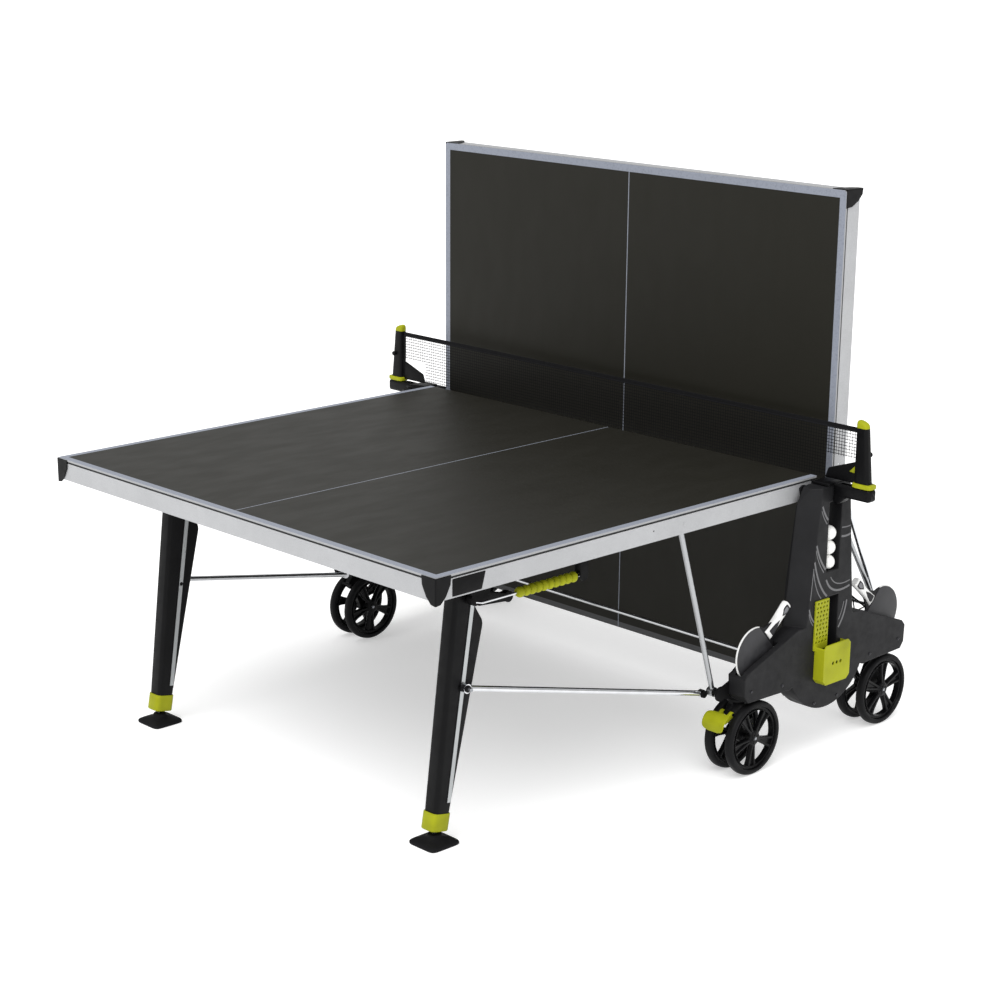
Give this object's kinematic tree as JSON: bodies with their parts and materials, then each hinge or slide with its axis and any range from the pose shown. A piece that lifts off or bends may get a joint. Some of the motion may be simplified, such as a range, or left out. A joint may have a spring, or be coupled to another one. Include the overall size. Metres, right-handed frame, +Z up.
{
  "type": "ping pong table",
  "caption": "Folding ping pong table with one half level and the other parked upright, net, storage pods for bats and balls, and swivelling casters.",
  "frame": {"origin": "on the floor, at the middle of the footprint of the whole table as stored, one half level and one parked", "axes": "+X along the net to the right-hand pod, +Y from the level half towards the parked half, +Z up"},
  "size_m": [1.904, 1.7771, 1.5072],
  "materials": {
    "board": "matt resin laminate with white lines",
    "rail": "silver powder coat, satin",
    "frame_tube": "black powder coat, satin",
    "corner_guard": "moulded, fine texture",
    "bracket": "black powder coat, satin",
    "guide_shoe": "slippery nylon, smooth",
    "strut": "brushed tube",
    "link": "bright",
    "leg": "moulded, fine texture",
    "leg_strip": "brushed along the strip",
    "accent": "moulded yellow-green, satin",
    "foot_pad": "dull",
    "rod": "bright",
    "grip": "ribbed, soft",
    "pod_cover": "moulded, fine texture",
    "pod_plate": "black powder coat",
    "net_post": "moulded, satin",
    "net": "fine open mesh",
    "net_tape": "folded woven tape",
    "ball": "satin celluloid-free plastic",
    "caster": "moulded, fine texture",
    "wheel": "moulded hub with a dull tread",
    "bat": "pimpled rubber on a wooden blade"
  },
  "bodies": {
    "chassis": {"pod_cover_right": "pod_cover", "pod_cover_left": "pod_cover", "pod_plate_right": "pod_plate", "pod_plate_left": "pod_plate", "cross_rods": "rod", "net_post_right": "net_post", "net_post_left": "net_post", "net_post_trims": "accent", "net_mesh": "net", "net_tape": "net_tape", "ball_dispenser_right": "accent", "ball_dispenser_left": "accent", "balls": "ball"},
    "guide_shoes_front": {"guide_shoes_front": "guide_shoe"},
    "half_front": {"board_front": "board", "under_frame_front": "frame_tube", "end_rails_front": "rail", "side_rails_front": "rail", "corner_guards_front": "corner_guard", "leg_brackets_front": "bracket"},
    "struts_front": {"struts_front": "strut"},
    "legs_front": {"legs_front": "leg", "leg_strips_front": "leg_strip", "leg_rings_front": "accent"},
    "link_rods_front": {"link_rods_front": "link"},
    "release_handle_front": {"release_rod_front": "rod", "release_grip_front": "grip"},
    "foot_pad_front_right": {"foot_pad_front_right": "foot_pad"},
    "caster_front_right": {"caster_fork_front_right": "caster"},
    "wheels_front_right": {"wheels_front_right": "wheel"},
    "bat_front_right": {"bat_front_right": "bat"},
    "foot_pad_front_left": {"foot_pad_front_left": "foot_pad"},
    "caster_front_left": {"caster_fork_front_left": "caster"},
    "wheels_front_left": {"wheels_front_left": "wheel"},
    "bat_front_left": {"bat_front_left": "bat"},
    "guide_shoes_rear": {"guide_shoes_rear": "guide_shoe"},
    "half_rear": {"board_rear": "board", "under_frame_rear": "frame_tube", "end_rails_rear": "rail", "side_rails_rear": "rail", "corner_guards_rear": "corner_guard", "leg_brackets_rear": "bracket"},
    "struts_rear": {"struts_rear": "strut"},
    "legs_rear": {"legs_rear": "leg", "leg_strips_rear": "leg_strip", "leg_rings_rear": "accent"},
    "link_rods_rear": {"link_rods_rear": "link"},
    "release_handle_rear": {"release_rod_rear": "rod", "release_grip_rear": "grip"},
    "foot_pad_rear_right": {"foot_pad_rear_right": "foot_pad"},
    "caster_rear_right": {"caster_fork_rear_right": "caster"},
    "wheels_rear_right": {"wheels_rear_right": "wheel"},
    "bat_rear_right": {"bat_rear_right": "bat"},
    "foot_pad_rear_left": {"foot_pad_rear_left": "foot_pad"},
    "caster_rear_left": {"caster_fork_rear_left": "caster"},
    "wheels_rear_left": {"wheels_rear_left": "wheel"},
    "bat_rear_left": {"bat_rear_left": "bat"},
    "brake_pedal_front_right": {"brake_pedal_front_right": "accent"},
    "brake_pedal_rear_left": {"brake_pedal_rear_left": "accent"}
  },
  "joints": [
    {"name": "guide_front", "type": "hinge", "parent": "chassis", "child": "guide_shoes_front", "pos_m": [0, -0.30415, 0.50952], "axis": [-1, 0, 0], "range_deg": [0, 40.97]},
    {"name": "fold_front", "type": "hinge", "parent": "guide_shoes_front", "child": "half_front", "pos_m": [0, 0.4237, 0.725], "axis": [-1, 0, 0], "range_deg": [0, 49.03]},
    {"name": "strut_turn_front", "type": "hinge", "parent": "chassis", "child": "struts_front", "pos_m": [0, 0.10906, 0.238], "axis": [-1, 0, 0], "range_deg": [0, 49.82]},
    {"name": "leg_fold_front", "type": "hinge", "parent": "half_front", "child": "legs_front", "pos_m": [0, -0.6333, 0.7], "axis": [1, 0, 0], "range_deg": [0, 84.65]},
    {"name": "link_turn_front", "type": "hinge", "parent": "legs_front", "child": "link_rods_front", "pos_m": [0, -0.6473, 0.397], "axis": [-1, 0, 0], "range_deg": [0, 89.73]},
    {"name": "levelling_foot_front_right", "type": "slide", "parent": "legs_front", "child": "foot_pad_front_right", "axis": [0, 0, -1], "range_m": [0, 0.01]},
    {"name": "caster_swivel_front_right", "type": "hinge", "parent": "chassis", "child": "caster_front_right", "pos_m": [0.773, 0.1737, 0], "axis": [0, 0, 1], "continuous": true},
    {"name": "wheel_spin_front_right", "type": "hinge", "parent": "caster_front_right", "child": "wheels_front_right", "pos_m": [0.773, 0.2037, 0.102], "axis": [1, 0, 0], "continuous": true},
    {"name": "bat_pull_front_right", "type": "slide", "parent": "chassis", "child": "bat_front_right", "axis": [0, -0.3355, 0.9421], "range_m": [0, 0.12]},
    {"name": "levelling_foot_front_left", "type": "slide", "parent": "legs_front", "child": "foot_pad_front_left", "axis": [0, 0, -1], "range_m": [0, 0.01]},
    {"name": "caster_swivel_front_left", "type": "hinge", "parent": "chassis", "child": "caster_front_left", "pos_m": [-0.773, 0.1737, 0], "axis": [0, 0, 1], "continuous": true},
    {"name": "wheel_spin_front_left", "type": "hinge", "parent": "caster_front_left", "child": "wheels_front_left", "pos_m": [-0.773, 0.2037, 0.102], "axis": [1, 0, 0], "continuous": true},
    {"name": "bat_pull_front_left", "type": "slide", "parent": "chassis", "child": "bat_front_left", "axis": [0, -0.3355, 0.9421], "range_m": [0, 0.12]},
    {"name": "guide_rear", "type": "hinge", "parent": "chassis", "child": "guide_shoes_rear", "pos_m": [0, 1.27155, 0.50952], "axis": [-1, 0, 0], "range_deg": [0, 40.97]},
    {"name": "fold_rear", "type": "hinge", "parent": "guide_shoes_rear", "child": "half_rear", "pos_m": [0, 0.5807, 0.195], "axis": [-1, 0, 0], "range_deg": [0, 49.03]},
    {"name": "strut_turn_rear", "type": "hinge", "parent": "chassis", "child": "struts_rear", "pos_m": [0, 0.85834, 0.238], "axis": [-1, 0, 0], "range_deg": [0, 49.82]},
    {"name": "leg_fold_rear", "type": "hinge", "parent": "half_rear", "child": "legs_rear", "pos_m": [0, 0.6057, 1.252], "axis": [1, 0, 0], "range_deg": [0, 84.65]},
    {"name": "link_turn_rear", "type": "hinge", "parent": "legs_rear", "child": "link_rods_rear", "pos_m": [0, 0.64791, 0.95163], "axis": [-1, 0, 0], "range_deg": [0, 89.73]},
    {"name": "levelling_foot_rear_right", "type": "slide", "parent": "legs_rear", "child": "foot_pad_rear_right", "axis": [0, 0.0933, -0.9956], "range_m": [0, 0.01]},
    {"name": "caster_swivel_rear_right", "type": "hinge", "parent": "chassis", "child": "caster_rear_right", "pos_m": [0.773, 0.7937, 0], "axis": [0, 0, 1], "continuous": true},
    {"name": "wheel_spin_rear_right", "type": "hinge", "parent": "caster_rear_right", "child": "wheels_rear_right", "pos_m": [0.773, 0.7637, 0.102], "axis": [1, 0, 0], "continuous": true},
    {"name": "bat_pull_rear_right", "type": "slide", "parent": "chassis", "child": "bat_rear_right", "axis": [0, 0.3355, 0.9421], "range_m": [0, 0.12]},
    {"name": "levelling_foot_rear_left", "type": "slide", "parent": "legs_rear", "child": "foot_pad_rear_left", "axis": [0, 0.0933, -0.9956], "range_m": [0, 0.01]},
    {"name": "caster_swivel_rear_left", "type": "hinge", "parent": "chassis", "child": "caster_rear_left", "pos_m": [-0.773, 0.7937, 0], "axis": [0, 0, 1], "continuous": true},
    {"name": "wheel_spin_rear_left", "type": "hinge", "parent": "caster_rear_left", "child": "wheels_rear_left", "pos_m": [-0.773, 0.7637, 0.102], "axis": [1, 0, 0], "continuous": true},
    {"name": "bat_pull_rear_left", "type": "slide", "parent": "chassis", "child": "bat_rear_left", "axis": [0, 0.3355, 0.9421], "range_m": [0, 0.12]},
    {"name": "release_front", "type": "hinge", "parent": "half_front", "child": "release_handle_front", "pos_m": [0.64, -0.2863, 0.617], "axis": [-1, 0, 0], "range_deg": [0, 8], "stiffness_Nm_per_rad": 2, "springref_deg": -17.19},
    {"name": "release_rear", "type": "hinge", "parent": "half_rear", "child": "release_handle_rear", "pos_m": [-0.64, 0.6887, 0.905], "axis": [1, 0, 0], "range_deg": [0, 8], "stiffness_Nm_per_rad": 2, "springref_deg": -17.19},
    {"name": "brake_front_right", "type": "hinge", "parent": "caster_front_right", "child": "brake_pedal_front_right", "pos_m": [0.773, 0.1397, 0.178], "axis": [1, 0, 0], "range_deg": [0, 6]},
    {"name": "brake_rear_left", "type": "hinge", "parent": "caster_rear_left", "child": "brake_pedal_rear_left", "pos_m": [-0.773, 0.8277, 0.178], "axis": [-1, 0, 0], "range_deg": [0, 6]}
  ],
  "couplings": [
    {"joint": "guide_front", "follows": "fold_front", "ratio": 0.83559},
    {"joint": "strut_turn_front", "follows": "fold_front", "ratio": 1.016},
    {"joint": "leg_fold_front", "follows": "fold_front", "ratio": 1.7264},
    {"joint": "link_turn_front", "follows": "fold_front", "ratio": 1.83},
    {"joint": "guide_rear", "follows": "fold_rear", "ratio": 0.83559},
    {"joint": "strut_turn_rear", "follows": "fold_rear", "ratio": 1.016},
    {"joint": "leg_fold_rear", "follows": "fold_rear", "ratio": 1.7264},
    {"joint": "link_turn_rear", "follows": "fold_rear", "ratio": 1.83}
  ]
}
